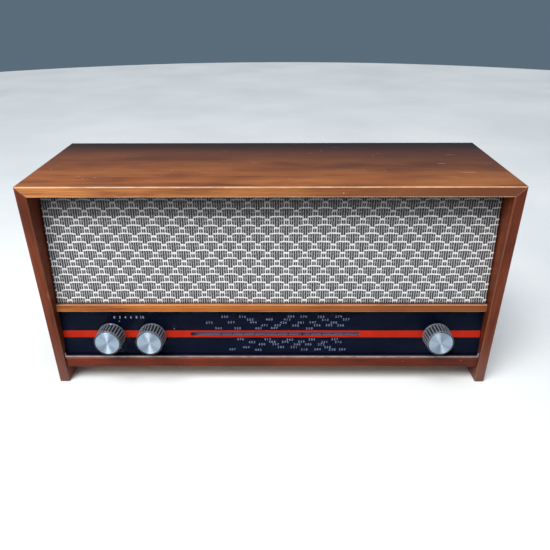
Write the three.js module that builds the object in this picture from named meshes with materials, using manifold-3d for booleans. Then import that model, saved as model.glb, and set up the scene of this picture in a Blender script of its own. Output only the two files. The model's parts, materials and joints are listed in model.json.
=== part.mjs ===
// Mains table radio in a veneered wooden case, built up piece by piece.
// Millimetres, +X to the right seen from the front, +Y to the back, +Z up, floor at z = 0.
// The front (cloth, middle rail, dial and everything mounted square to it) leans back a few
// degrees. Those pieces are built in one leaning group, where y is the depth behind the front
// plane and z the height along it.
import * as THREE from 'three';
import { mergeVertices } from 'three/addons/utils/BufferGeometryUtils.js';
import Module from 'manifold-3d';

const wasm = await Module();
wasm.setup();

// ---- Driving dimensions ----

// Case
const WIDTH = 480;
const HEIGHT = 230;
const DEPTH = 162.5;
const BOARD = 10.6;
const GAP = 0.3; // left between any two pieces that touch
const INNER = WIDTH / 2 - BOARD; // inner face of a side panel
const RAIL_FOOT = 19; // the rail and floor board stand clear of the ground on the side panels
const RAIL_TOP = 31.1;
const RAIL_RECESS = 2.5;
const RAIL_BACK = 15.5;
const FLOOR_BOARD = 9;
const FLOOR_TOP = RAIL_FOOT + FLOOR_BOARD;

// Leaning front
const TILT = THREE.MathUtils.degToRad(6.1);
const FRONT_FOOT = 0.5; // where the front plane would meet the ground
const MIDDLE_RAIL = { foot: 88.9, top: 97.2, front: -3, back: 9 };
const CLOTH_SIDE_GAP = 1;
const CLOTH_THICK = 1.2;
const BAFFLE_THICK = 9;
const FRONT_TOP = 220;

// Dial
const GLASS_FOOT = 33.5;
const GLASS_TOP = MIDDLE_RAIL.foot - 0.4;
const GLASS_THICK = 2.2;
const MASK_THICK = 0.8;
const AXIS_HEIGHT = 59.6; // height of the three shafts and of the dial's window
const WINDOW = { left: -88, right: 96, height: 4.2 };
const SHAFT_HOLE_R = 4.8;
const CHANNEL = { foot: 32, lipTop: 34.1, endTop: 37.6, thick: 1.2 }; // holds the glass's foot

// Knobs
const VOLUME_X = -174;
const TONE_X = -129.5;
const TUNING_X = 179.5;
const KNOB = { back: -1, face: -19.1, baseR: 15.3, faceR: 14.4, flutes: 24, fluteDepth: 0.7 };
const CAP_R = 13.2;
const CAP_RECESS = 1.6;
const SHAFT_R = 3;
const SHAFT_CLEARANCE = 0.12;
const NECK_R = 4.4; // of the necks and the bush that the shafts turn in

// Tuning drive: the cord's middle line runs at these radii, always clockwise seen from the front
const CORD_R = 0.4;
const DRUM = { x: 104, z: 90, r: 54, nearDepth: 18.2, farDepth: 19.8 };
const SPINDLE = { x: TUNING_X, z: AXIS_HEIGHT, r: 4, nearDepth: 16.9, farDepth: 18.3 };
const PULLEY_R = 6;
const PULLEY_HEIGHT = 80;
const LEFT_PULLEY_X = -104;
const RIGHT_PULLEY_X = 186;
const CORD_DEPTH = 14;
const CORD_HEIGHT = PULLEY_HEIGHT + PULLEY_R;
const POINTER = { x: 34, rightStop: 90 };

// Chassis
const STEEL = 1.2;
const UPSTAND = { depth: 24, top: 104, halfWidth: 205 };
const CHASSIS_BACK = 139;
const CHASSIS_RIB = 72;
const CHASSIS_RIB_TOP = 38;
const CHASSIS_FLOOR = FLOOR_TOP + GAP;
const ON_CHASSIS = CHASSIS_FLOOR + STEEL + GAP;
const BOARD_Z = CHASSIS_RIB_TOP + GAP;
const PCB_THICK = 1.6;
const ON_PCB = BOARD_Z + PCB_THICK + GAP;

// Loudspeaker, an oval twice as wide as it is high
const SPEAKER = { x: -100, z: 158, halfHeight: 51, stretch: 2 };
const SPEAKER_DEPTH = CLOTH_THICK + GAP + BAFFLE_THICK + GAP;

// Back
const BACK_FRONT = 153;
const BACK_THICK = 3;
const BATTEN = 12;
const SCREW_X = INNER - GAP - BATTEN / 2;
const SCREW_HEIGHTS = [60, 180];
const GROMMET = { x: -170, z: 50, holeR: 6 };

// ---- Materials ----

const paint = (color, roughness, metalness = 0) =>
  new THREE.MeshStandardMaterial({ color, roughness, metalness });
const WALNUT = paint(0x8b5a3a, 0.35);
const LIGHT_RAIL = paint(0xa3683a, 0.35);
const PLY = paint(0xb58a5c, 0.75);
const HARDBOARD = paint(0x6a4a30, 0.85);
const CLOTH = paint(0x8d8880, 0.9);
const GLASS = paint(0x14202c, 0.05);
const BLACK_PRINT = paint(0x0c1018, 0.5);
const CREAM = paint(0xe2d8cc, 0.4);
const BLACK_PLASTIC = paint(0x23262a, 0.45);
const SPUN_ALUMINIUM = paint(0xc4c8ca, 0.3, 1);
const STEEL_GREY = paint(0x9a9c9e, 0.4, 0.9);
const BRASS = paint(0xb8964e, 0.35, 1);
const LAMINATION = paint(0x4a4640, 0.6, 0.6);
const WINDING = paint(0xc9a24a, 0.7);
const PCB_BROWN = paint(0x9a6a34, 0.6);
const FERRITE = paint(0x2c2a2a, 0.6);
const PAPER_CONE = paint(0x24211f, 0.9);
const POINTER_BLACK = paint(0x1a1918, 0.5);
const RUBBER = paint(0x1d1c1b, 0.8);
const LAMP = paint(0xe8e2c8, 0.15);
const NYLON = paint(0xd8d2c2, 0.6);

// ---- Shapes ----

function outline(points) {
  return new THREE.Shape(points.map(([x, y]) => new THREE.Vector2(x, y)));
}

function rectangle(x0, y0, x1, y1) {
  return outline([[x0, y0], [x1, y0], [x1, y1], [x0, y1]]);
}

function circle(x, y, r, Kind = THREE.Path) {
  const path = new Kind();
  path.absarc(x, y, r, 0, 2 * Math.PI, false);
  return path;
}

function extrude(shape, depth, curveSegments = 12) {
  return new THREE.ExtrudeGeometry(shape, { depth, bevelEnabled: false, curveSegments });
}

// An outline drawn in x and z, run back from y0 to y1.
function alongY(shape, y0, y1, curveSegments) {
  return extrude(shape, y1 - y0, curveSegments).rotateX(Math.PI / 2).translate(0, y1, 0);
}

// An outline drawn in y and z, run sideways from x0 to x1.
function alongX(shape, x0, x1, curveSegments) {
  const axes = new THREE.Matrix4().makeBasis(
    new THREE.Vector3(0, 1, 0), new THREE.Vector3(0, 0, 1), new THREE.Vector3(1, 0, 0));
  return extrude(shape, x1 - x0, curveSegments).applyMatrix4(axes).translate(x0, 0, 0);
}

// An outline drawn in x and y, run up from z0 to z1.
function alongZ(shape, z0, z1, curveSegments) {
  return extrude(shape, z1 - z0, curveSegments).translate(0, 0, z0);
}

function box(x0, x1, y0, y1, z0, z1) {
  return alongZ(rectangle(x0, y0, x1, y1), z0, z1);
}

// A profile of [radius, depth] points turned about an axis that runs back through (x, z).
function turned(points, x, z, segments = 16) {
  const profile = points.map(([r, y]) => new THREE.Vector2(r, y));
  return new THREE.LatheGeometry(profile, segments).translate(x, 0, z);
}

// A profile that doesn't touch the axis is closed by repeating its first point.
function ring(points, x, z, segments) {
  return turned([...points, points[0]], x, z, segments);
}

function rod(r, y0, y1, x, z, segments) {
  return turned([[0, y0], [r, y0], [r, y1], [0, y1]], x, z, segments);
}

// ---- Joining and cutting ----

function solid(geometry) {
  const bare = geometry.index ? geometry.toNonIndexed() : geometry.clone();
  bare.deleteAttribute('normal');
  bare.deleteAttribute('uv');
  const merged = mergeVertices(bare);
  const corners = merged.index.array;
  const kept = [];
  for (let i = 0; i < corners.length; i += 3) {
    const [a, b, c] = [corners[i], corners[i + 1], corners[i + 2]];
    if (a !== b && b !== c && c !== a) kept.push(a, b, c);
  }
  const vertProperties = new Float32Array(merged.attributes.position.array);
  const triVerts = new Uint32Array(kept);
  return new wasm.Manifold(new wasm.Mesh({ numProp: 3, vertProperties, triVerts }));
}

function geometryOf(manifold) {
  const { vertProperties, triVerts } = manifold.getMesh();
  const geometry = new THREE.BufferGeometry();
  geometry.setAttribute('position', new THREE.BufferAttribute(vertProperties, 3));
  geometry.setIndex(new THREE.BufferAttribute(triVerts, 1));
  geometry.computeVertexNormals();
  return geometry;
}

const cut = (body, ...tools) =>
  geometryOf(tools.reduce((left, tool) => left.subtract(solid(tool)), solid(body)));
const join = (...pieces) => geometryOf(pieces.map(solid).reduce((sum, next) => sum.add(next)));

// ---- The scene graph ----

const radio = new THREE.Group();
const level = new THREE.Group();
const leaning = new THREE.Group();
leaning.position.y = FRONT_FOOT;
leaning.rotation.x = -TILT;
level.add(leaning);
radio.add(level);

function add(group, name, geometry, material) {
  const mesh = new THREE.Mesh(geometry, material);
  mesh.name = name;
  group.add(mesh);
}

// Where a point of the leaning group lies in the level one, as [y, z].
function levelled(depth, height) {
  const y = FRONT_FOOT + depth * Math.cos(TILT) + height * Math.sin(TILT);
  return [y, height * Math.cos(TILT) - depth * Math.sin(TILT)];
}

// Where the leaning plane at this depth crosses a level height, as [y, z].
function crossing(depth, z) {
  return levelled(depth, (z + depth * Math.sin(TILT)) / Math.cos(TILT));
}

// ---- Case: a sleeve of three boards mitred at the top corners, a floor board and two rails ----

function addCase() {
  const half = WIDTH / 2;
  const mitreGap = GAP * Math.SQRT1_2;
  const ceiling = HEIGHT - BOARD;
  const top = outline([
    [mitreGap - half, HEIGHT], [mitreGap - INNER, ceiling],
    [INNER - mitreGap, ceiling], [half - mitreGap, HEIGHT],
  ]);
  add(level, 'top_panel', alongY(top, 0, DEPTH), WALNUT);
  for (const [name, side] of [['left_side_panel', -1], ['right_side_panel', 1]]) {
    const board = outline([
      [side * half, 0], [side * INNER, 0],
      [side * INNER, ceiling - mitreGap], [side * half, HEIGHT - mitreGap],
    ]);
    add(level, name, alongY(board, 0, DEPTH), WALNUT);
  }
  const reach = INNER - GAP;
  add(level, 'bottom_rail', box(-reach, reach, RAIL_RECESS, RAIL_BACK, RAIL_FOOT, RAIL_TOP), WALNUT);
  const board = box(-reach, reach, RAIL_BACK + GAP, BACK_FRONT - GAP, RAIL_FOOT, FLOOR_TOP);
  add(level, 'bottom_panel', board, PLY);
  const rail = MIDDLE_RAIL;
  const bar = box(-reach, reach, rail.front, rail.back, rail.foot, rail.top);
  add(leaning, 'middle_rail', bar, LIGHT_RAIL);
}

// ---- Loudspeaker cloth and the board that it is stretched over ----

function addGrille() {
  const reach = INNER - CLOTH_SIDE_GAP;
  const foot = MIDDLE_RAIL.top + GAP;
  add(leaning, 'grille_cloth', box(-reach, reach, 0, CLOTH_THICK, foot, FRONT_TOP), CLOTH);
  const baffle = rectangle(-reach, foot, reach, FRONT_TOP);
  const mouth = new THREE.Path();
  mouth.absellipse(SPEAKER.x, SPEAKER.z, 92, 43, 0, 2 * Math.PI, false, 0);
  baffle.holes.push(mouth);
  const front = CLOTH_THICK + GAP;
  add(leaning, 'speaker_baffle', alongY(baffle, front, front + BAFFLE_THICK, 16), PLY);
}

// ---- Dial: glass, printed mask with its window, channel at the foot, reflector and lamps ----

function dialSheet() {
  const reach = INNER - 0.6;
  const sheet = rectangle(-reach, GLASS_FOOT, reach, GLASS_TOP);
  for (const x of [VOLUME_X, TONE_X, TUNING_X]) {
    sheet.holes.push(circle(x, AXIS_HEIGHT, SHAFT_HOLE_R));
  }
  return sheet;
}

function addDial() {
  add(leaning, 'dial_glass', alongY(dialSheet(), 0, GLASS_THICK, 8), GLASS);
  const mask = dialSheet();
  const windowFoot = AXIS_HEIGHT - WINDOW.height / 2;
  mask.holes.push(rectangle(WINDOW.left, windowFoot, WINDOW.right, windowFoot + WINDOW.height));
  const maskFront = GLASS_THICK + GAP;
  add(leaning, 'dial_mask', alongY(mask, maskFront, maskFront + MASK_THICK, 8), BLACK_PRINT);

  const end = INNER - GAP;
  const { foot, lipTop, endTop, thick } = CHANNEL;
  const lip = outline([
    [-end, foot], [end, foot], [end, endTop], [end - thick, endTop],
    [end - thick, lipTop], [thick - end, lipTop], [thick - end, endTop], [-end, endTop],
  ]);
  const ledge = box(-end, end, -GAP - thick, GLASS_THICK + GAP, foot, GLASS_FOOT - GAP);
  add(leaning, 'dial_channel', join(alongY(lip, -GAP - thick, -GAP), ledge), CREAM);

  const [left, right] = [WINDOW.left - 7, WINDOW.right + 7];
  const [open, white, rear, wall] = [3.6, 8.5, 10, 1.5]; // depths of the trough, and its walls
  const trough = outline([
    [left, open], [left + wall, open], [left + wall, white], [right - wall, white],
    [right - wall, open], [right, open], [right, rear], [left, rear],
  ]);
  add(leaning, 'dial_reflector', alongZ(trough, AXIS_HEIGHT - 8.8, AXIS_HEIGHT + 9.2), CREAM);
  addLamp('left_dial_lamp', left - 3, 1);
  addLamp('right_dial_lamp', right + 3, -1);
}

// A small screw-cap bulb lying sideways, its tip at tipX and pointing along side.
function addLamp(name, tipX, side) {
  const [length, bulbR, lampDepth] = [16, 4.4, 9.5];
  const bulb = [[0, length]];
  for (let i = 1; i <= 4; i += 1) {
    const angle = (i * Math.PI) / 8;
    bulb.unshift([bulbR * Math.sin(angle), (length / 2) * (1 + Math.cos(angle))]);
  }
  const cap = [[0, 0], [2, 0], [4.2, 1.2]];
  const lamp = new THREE.LatheGeometry(
    [...cap, ...bulb].map(([r, y]) => new THREE.Vector2(r, y)), 12);
  lamp.rotateZ((-side * Math.PI) / 2).translate(tipX - side * length, lampDepth, AXIS_HEIGHT);
  add(leaning, name, lamp, LAMP);
}

// ---- Controls: two potentiometers and the tuning spindle, with their knobs ----

function addKnob(name, x) {
  const { back, face, baseR, faceR, flutes, fluteDepth } = KNOB;
  const boreR = SHAFT_R + GAP;
  const floor = face + CAP_RECESS;
  const profile = [
    [0, floor], [CAP_R + GAP, floor], [CAP_R + GAP, face], [faceR - 0.3, face],
    [faceR, face + 0.4], [baseR, back], [boreR, back], [boreR, floor + 2.4], [0, floor + 2.4],
  ];
  const body = turned(profile, 0, 0, 2 * flutes);
  const places = body.attributes.position;
  for (let i = 0; i < places.count; i += 1) {
    const [px, pz] = [places.getX(i), places.getZ(i)];
    const r = Math.hypot(px, pz);
    const wave = (1 - Math.cos(flutes * Math.atan2(px, pz))) / 2;
    const scale = r > CAP_R + 2 * GAP ? 1 - (fluteDepth * wave) / r : 1;
    places.setX(i, px * scale);
    places.setZ(i, pz * scale);
  }
  add(leaning, name, body.translate(x, 0, AXIS_HEIGHT), BLACK_PLASTIC);
  const cap = [
    [0, face + 0.5], [9, face + 0.3], [CAP_R, face + 0.1],
    [CAP_R, floor - GAP], [0, floor - GAP],
  ];
  add(leaning, `${name}_cap`, turned(cap, x, AXIS_HEIGHT, 24), SPUN_ALUMINIUM);
}

// A potentiometer behind the chassis upstand, its threaded neck through the hole.
function addPotentiometer(name, x) {
  const bodyFront = UPSTAND.depth + STEEL + GAP;
  const bodyBack = bodyFront + 12;
  const neckFront = UPSTAND.depth - 6;
  const [bodyR, boreR] = [12, SHAFT_R + SHAFT_CLEARANCE];
  const boreEnd = bodyFront + 5;
  const profile = [
    [0, boreEnd], [boreR, boreEnd], [boreR, neckFront], [NECK_R, neckFront],
    [NECK_R, bodyFront], [bodyR, bodyFront], [bodyR, bodyBack], [0, bodyBack],
  ];
  add(leaning, `${name}_control`, turned(profile, x, AXIS_HEIGHT), STEEL_GREY);
  const shaftFront = KNOB.face + CAP_RECESS + 3;
  const shaft = rod(SHAFT_R, shaftFront, boreEnd - GAP, x, AXIS_HEIGHT);
  add(leaning, `${name}_shaft`, shaft, STEEL_GREY);
}

function addTuningSpindle() {
  const [boreR, collarR] = [SHAFT_R + SHAFT_CLEARANCE, 6];
  const [near, far] = [UPSTAND.depth - 2.6, UPSTAND.depth + 8];
  const collar = UPSTAND.depth - GAP;
  const bush = [
    [boreR, near], [collarR, near], [collarR, collar],
    [NECK_R, collar], [NECK_R, far], [boreR, far],
  ];
  add(leaning, 'tuning_bush', ring(bush, TUNING_X, AXIS_HEIGHT), BRASS);
  const [grooveFront, grooveBack] = [SPINDLE.nearDepth - 1.5, SPINDLE.farDepth + 1];
  const [grooveR, flangeR] = [SPINDLE.r - 0.9, 5.2];
  const front = KNOB.face + CAP_RECESS + 3;
  const spindle = [
    [0, front], [SHAFT_R, front], [SHAFT_R, grooveFront - 1], [flangeR, grooveFront - 1],
    [flangeR, grooveFront], [grooveR, grooveFront], [grooveR, grooveBack],
    [flangeR, grooveBack], [flangeR, grooveBack + 1], [SHAFT_R, grooveBack + 1],
    [SHAFT_R, far + 2], [0, far + 2],
  ];
  add(leaning, 'tuning_spindle', turned(spindle, TUNING_X, AXIS_HEIGHT), BRASS);
}

// ---- Tuning drive: drum, pulleys, cord and pointer ----

function addDrum() {
  const [front, back] = [16.6, 21.4];
  const [rimR, grooveR, rimInnerR, hubR] = [DRUM.r + 2, DRUM.r - 1.2, 48, 8];
  const [webFront, webBack, hubBack] = [18, 20, 22.5];
  const profile = [
    [SHAFT_R + GAP, front], [hubR, front], [hubR, webFront], [rimInnerR, webFront],
    [rimInnerR, front], [rimR, front], [rimR, front + 0.8], [grooveR, front + 1],
    [grooveR, back - 1], [rimR, back - 0.8], [rimR, back], [rimInnerR, back],
    [rimInnerR, webBack], [hubR, webBack], [hubR, hubBack], [SHAFT_R + GAP, hubBack],
  ];
  add(leaning, 'dial_drum', ring(profile, DRUM.x, DRUM.z, 30), NYLON);
}

function addPulley(name, x) {
  const [front, back] = [CORD_DEPTH - 2, CORD_DEPTH + 2];
  const [boreR, flangeR, grooveR] = [1.9, 7.2, PULLEY_R - 0.9];
  const profile = [
    [boreR, front], [flangeR, front], [flangeR, front + 0.7], [grooveR, front + 1.1],
    [grooveR, back - 1.1], [flangeR, back - 0.7], [flangeR, back], [boreR, back],
  ];
  add(leaning, name, ring(profile, x, PULLEY_HEIGHT), NYLON);
}

// A route through given points, one step from each point to the next.
class PointRoute extends THREE.Curve {
  constructor(points) {
    super();
    this.points = points;
  }

  getPointAt(u, target = new THREE.Vector3()) {
    return target.copy(this.points[Math.round(u * (this.points.length - 1))]);
  }

  getTangentAt(u, target = new THREE.Vector3()) {
    const last = this.points.length - 1;
    const i = Math.round(u * last);
    const [before, after] = [this.points[Math.max(i - 1, 0)], this.points[Math.min(i + 1, last)]];
    return target.subVectors(after, before).normalize();
  }
}

// The angle at which a taut cord leaves one wheel and meets the next, both turning clockwise.
function tangentAngle(from, to) {
  const [dx, dz] = [to.x - from.x, to.z - from.z];
  return Math.atan2(dz, dx) + Math.acos((from.r - to.r) / Math.hypot(dx, dz));
}

// The angle reached by turning clockwise from start until pointing the same way as this one.
function clockwise(start, angle, extraTurns) {
  const turn = 2 * Math.PI;
  const part = (((start - angle) % turn) + turn) % turn;
  return start - part - extraTurns * turn;
}

function addCord() {
  const up = Math.PI / 2;
  const ends = 0.05; // half the angle between the two ends at the drum's anchor
  const leftPulley = { x: LEFT_PULLEY_X, z: PULLEY_HEIGHT, r: PULLEY_R };
  const rightPulley = { x: RIGHT_PULLEY_X, z: PULLEY_HEIGHT, r: PULLEY_R };
  const offDrum = tangentAngle(DRUM, leftPulley);
  const ontoSpindle = tangentAngle(rightPulley, SPINDLE);
  const offSpindle = tangentAngle(SPINDLE, DRUM);
  const arcs = [
    { wheel: DRUM, start: up - ends, to: offDrum, depths: [DRUM.nearDepth, DRUM.nearDepth] },
    { wheel: leftPulley, start: offDrum, to: up, depths: [CORD_DEPTH, CORD_DEPTH] },
    { wheel: rightPulley, start: up, to: ontoSpindle, depths: [CORD_DEPTH, CORD_DEPTH] },
    { wheel: SPINDLE, start: ontoSpindle, to: offSpindle, extraTurns: 1,
      depths: [SPINDLE.nearDepth, SPINDLE.farDepth] },
    { wheel: DRUM, start: offSpindle, to: up + ends, depths: [DRUM.farDepth, DRUM.farDepth] },
  ];
  const points = [];
  for (const { wheel, start, to, extraTurns = 0, depths } of arcs) {
    const end = clockwise(start, to, extraTurns);
    const stepAngle = wheel === DRUM ? 0.26 : 0.45;
    const steps = Math.ceil((start - end) / stepAngle);
    for (let i = 0; i <= steps; i += 1) {
      const angle = start + ((end - start) * i) / steps;
      const depth = depths[0] + ((depths[1] - depths[0]) * i) / steps;
      points.push(new THREE.Vector3(
        wheel.x + wheel.r * Math.cos(angle), depth, wheel.z + wheel.r * Math.sin(angle)));
    }
  }
  const section = circle(0, 0, CORD_R, THREE.Shape);
  const cord = new THREE.ExtrudeGeometry(section, {
    steps: points.length - 1, curveSegments: 4, extrudePath: new PointRoute(points) });
  add(leaning, 'dial_cord', cord, NYLON);
}

// A black needle behind the window, carried over the reflector by a clip on the cord.
function addPointer() {
  const [needleFront, needleBack, clipFoot] = [5.6, 6.4, CORD_HEIGHT - 3];
  const needle = outline([
    [needleFront, 54], [needleBack, 54], [needleBack, clipFoot],
    [CORD_DEPTH, clipFoot], [CORD_DEPTH, clipFoot + 1.2], [needleFront, clipFoot + 1.2],
  ]);
  const [outer, slot] = [1.8, CORD_R + 0.4];
  const clip = outline([
    [CORD_DEPTH - outer, clipFoot], [CORD_DEPTH + outer, clipFoot],
    [CORD_DEPTH + outer, CORD_HEIGHT + 0.8], [CORD_DEPTH + slot, CORD_HEIGHT + 0.8],
    [CORD_DEPTH + slot, CORD_HEIGHT - 1], [CORD_DEPTH - slot, CORD_HEIGHT - 1],
    [CORD_DEPTH - slot, CORD_HEIGHT + 0.8], [CORD_DEPTH - outer, CORD_HEIGHT + 0.8],
  ]);
  const pointer = join(
    alongX(needle, POINTER.x - 0.6, POINTER.x + 0.6), alongX(clip, POINTER.x - 5, POINTER.x + 5));
  add(leaning, 'dial_pointer', pointer, POINTER_BLACK);
}

// ---- Tuning gang: frame, fixed vanes and the rotor that carries the drum. The rotor's vanes are
// clear of the fixed ones when the pointer is at its right stop ----

const GANG_HALF = 20;
const GANG_FRONT = UPSTAND.depth + STEEL + GAP;
const GANG_BACK = GANG_FRONT + 34.5;
const VANE_PITCH = 4;
const VANE_THICK = 1;
const STATOR = { innerR: 5, outerR: 18 };
const ROTOR_R = 14;
const FIRST_VANES = [GANG_FRONT + 3.5, GANG_FRONT + 19.5];
const ROTOR_START = (POINTER.rightStop - POINTER.x) / DRUM.r;

function addGang() {
  const foot = DRUM.z - GANG_HALF;
  const top = DRUM.z + GANG_HALF;
  const bracket = outline([
    [GANG_FRONT, foot], [GANG_BACK + STEEL, foot], [GANG_BACK + STEEL, top], [GANG_BACK, top],
    [GANG_BACK, foot + STEEL], [GANG_FRONT + STEEL, foot + STEEL],
    [GANG_FRONT + STEEL, top], [GANG_FRONT, top],
  ]);
  const frame = cut(
    alongX(bracket, DRUM.x - GANG_HALF, DRUM.x + GANG_HALF),
    rod(SHAFT_R + SHAFT_CLEARANCE, GANG_FRONT - 1, GANG_BACK + 3, DRUM.x, DRUM.z));
  add(leaning, 'gang_frame', frame, STEEL_GREY);

  const fixed = [];
  const moving = [rod(SHAFT_R, 16.9, GANG_BACK + 3, DRUM.x, DRUM.z)];
  for (const first of FIRST_VANES) {
    for (let i = 0; i < 3; i += 1) {
      const y = first + i * VANE_PITCH;
      const fixedVane = halfVane(STATOR.innerR, STATOR.outerR, Math.PI);
      fixed.push(alongY(fixedVane, y, y + VANE_THICK, 4));
      const between = y + VANE_PITCH / 2;
      const movingVane = halfVane(0, ROTOR_R, ROTOR_START);
      if (i < 2) moving.push(alongY(movingVane, between, between + VANE_THICK, 4));
    }
  }
  for (const side of [-1, 1]) {
    const [x, z] = [DRUM.x + side * 11.8, DRUM.z - 11.8];
    const ends = [GANG_FRONT + STEEL + GAP, GANG_BACK - GAP];
    fixed.push(box(x - 1.2, x + 1.2, ...ends, z - 1.2, z + 1.2));
  }
  add(leaning, 'gang_stator', join(...fixed), SPUN_ALUMINIUM);
  add(leaning, 'gang_rotor', join(...moving), SPUN_ALUMINIUM);
}

// Half a disc on the gang's shaft, from this angle on round to the one opposite.
function halfVane(innerR, outerR, start) {
  const vane = new THREE.Shape();
  vane.absarc(DRUM.x, DRUM.z, outerR, start, start + Math.PI, false);
  if (innerR > 0) vane.absarc(DRUM.x, DRUM.z, innerR, start + Math.PI, start, true);
  return vane;
}

// ---- Chassis: one folded sheet, its front leaf parallel to the dial, with two pulley studs ----

function stud(x) {
  const [front, root] = [CORD_DEPTH - 3, UPSTAND.depth + 0.5];
  const [headR, pinR, neck] = [2.8, 1.6, CORD_DEPTH - 2.3];
  const [shoulder, shoulderR] = [CORD_DEPTH + 2.3, 2.8];
  const profile = [
    [0, front], [headR, front], [headR, neck], [pinR, neck],
    [pinR, shoulder], [shoulderR, shoulder], [shoulderR, root], [0, root],
  ];
  return turned(profile, x, PULLEY_HEIGHT, 12);
}

function addChassis() {
  const inside = UPSTAND.depth + STEEL;
  const floor = CHASSIS_FLOOR + STEEL;
  const fold = outline([
    crossing(UPSTAND.depth, CHASSIS_FLOOR), [CHASSIS_BACK, CHASSIS_FLOOR],
    [CHASSIS_BACK, CHASSIS_RIB_TOP], [CHASSIS_BACK - STEEL, CHASSIS_RIB_TOP],
    [CHASSIS_BACK - STEEL, floor], [CHASSIS_RIB + STEEL, floor],
    [CHASSIS_RIB + STEEL, CHASSIS_RIB_TOP], [CHASSIS_RIB, CHASSIS_RIB_TOP],
    [CHASSIS_RIB, floor], crossing(inside, floor),
    levelled(inside, UPSTAND.top), levelled(UPSTAND.depth, UPSTAND.top),
  ]);
  const lean = new THREE.Matrix4().makeRotationX(-TILT).setPosition(0, FRONT_FOOT, 0);
  const holes = [
    [VOLUME_X, AXIS_HEIGHT], [TONE_X, AXIS_HEIGHT], [TUNING_X, AXIS_HEIGHT], [DRUM.x, DRUM.z],
  ].map(([x, z]) => rod(SHAFT_HOLE_R, UPSTAND.depth - 2, inside + 2, x, z).applyMatrix4(lean));
  const sheet = cut(alongX(fold, -UPSTAND.halfWidth, UPSTAND.halfWidth), ...holes);
  const studs = [LEFT_PULLEY_X, RIGHT_PULLEY_X].map((x) => stud(x).applyMatrix4(lean));
  add(level, 'chassis', join(sheet, ...studs), STEEL_GREY);
}

// ---- On the chassis: mains transformer, capacitor and the circuit board with its parts ----

function addMainsSupply() {
  const [x, y] = [-165, 105];
  const [windowFoot, windowTop] = [ON_CHASSIS + 10, ON_CHASSIS + 40];
  const core = cut(
    box(x - 30, x + 30, y - 14, y + 14, ON_CHASSIS, ON_CHASSIS + 50),
    box(x - 20, x - 10, y - 15, y + 15, windowFoot, windowTop),
    box(x + 10, x + 20, y - 15, y + 15, windowFoot, windowTop));
  add(level, 'transformer_core', core, LAMINATION);
  const coil = rectangle(x - 19.5, y - 23.5, x + 19.5, y + 23.5);
  coil.holes.push(rectangle(x - 10.4, y - 14.4, x + 10.4, y + 14.4));
  add(level, 'transformer_coil', alongZ(coil, windowFoot + 0.5, windowTop - 0.5), WINDING);

  const [canX, r, top] = [-105, 12.5, 50.5];
  const can = [
    [0, 0], [r, 0], [r, 5], [r - 1, 6.5], [r, 8], [r, top - 1.5], [r - 1.5, top], [0, top],
  ];
  const capacitor = turned(can, 0, 0, 20).rotateX(Math.PI / 2).translate(canX, y, ON_CHASSIS);
  add(level, 'smoothing_capacitor', capacitor, SPUN_ALUMINIUM);
}

function addCircuitBoard() {
  const board = box(-75, 120, CHASSIS_RIB - 2, CHASSIS_BACK + 2, BOARD_Z, BOARD_Z + PCB_THICK);
  add(level, 'circuit_board', board, PCB_BROWN);
  const [canY, canHalf, canHeight, slugHoleR] = [88.5, 6.5, 22, 2.5];
  for (const [i, x] of [-40, 10].entries()) {
    const can = rectangle(x - canHalf, canY - canHalf, x + canHalf, canY + canHalf);
    can.holes.push(circle(x, canY, slugHoleR));
    add(level, `if_can_${i + 1}`, alongZ(can, ON_PCB, ON_PCB + canHeight, 6), SPUN_ALUMINIUM);
  }
  addHeatsink();
}

function addHeatsink() {
  const [left, right, front, web] = [30, 90, 118, 3];
  const [fins, finWidth, finBack] = [6, 2, 136];
  const pitch = (right - left - finWidth) / (fins - 1);
  const comb = [[left, front], [right, front]];
  for (let i = fins - 1; i >= 0; i -= 1) {
    const x = left + i * pitch;
    if (i < fins - 1) comb.push([x + finWidth, front + web]);
    comb.push([x + finWidth, finBack], [x, finBack]);
    if (i > 0) comb.push([x, front + web]);
  }
  add(level, 'output_heatsink', alongZ(outline(comb), ON_PCB, ON_PCB + 30), SPUN_ALUMINIUM);
  for (const [i, x] of [45, 75].entries()) {
    const cover = [
      [0, front - 9], [5, front - 9], [6, front - 8], [6, front - 2.2],
      [9, front - 2], [9, front - GAP], [0, front - GAP],
    ];
    add(level, `output_transistor_${i + 1}`, turned(cover, x, ON_PCB + 15), STEEL_GREY);
  }
}

// ---- Ferrite rod aerial hung under the top board ----

function addAerial() {
  const [y, z, rodR] = [128, 203, 4.75];
  const [left, right] = [-30, 170];
  const bar = rod(rodR, left, right, 0, 0).rotateZ(-Math.PI / 2).translate(0, y, z);
  add(level, 'ferrite_rod', bar, FERRITE);
  const winding = [[rodR + GAP, 40], [8, 40], [8, 75], [rodR + GAP, 75]];
  const coil = ring(winding, 0, 0).rotateZ(-Math.PI / 2).translate(0, y, z);
  add(level, 'aerial_coil', coil, WINDING);
  for (const [name, x] of [['left_rod_holder', left + 12], ['right_rod_holder', right - 20]]) {
    const plate = rectangle(y - 9, z - 9, y + 9, HEIGHT - BOARD - GAP);
    plate.holes.push(circle(y, z, rodR + GAP));
    add(level, name, alongX(plate, x, x + 8, 10), NYLON);
  }
}

// ---- Loudspeaker: pressed basket, paper cone and magnet ----

function oval(points, segments = 24) {
  return new THREE.LatheGeometry(points.map(([r, y]) => new THREE.Vector2(r, y)), segments)
    .scale(SPEAKER.stretch, 1, 1).translate(SPEAKER.x, SPEAKER_DEPTH, SPEAKER.z);
}

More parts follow.
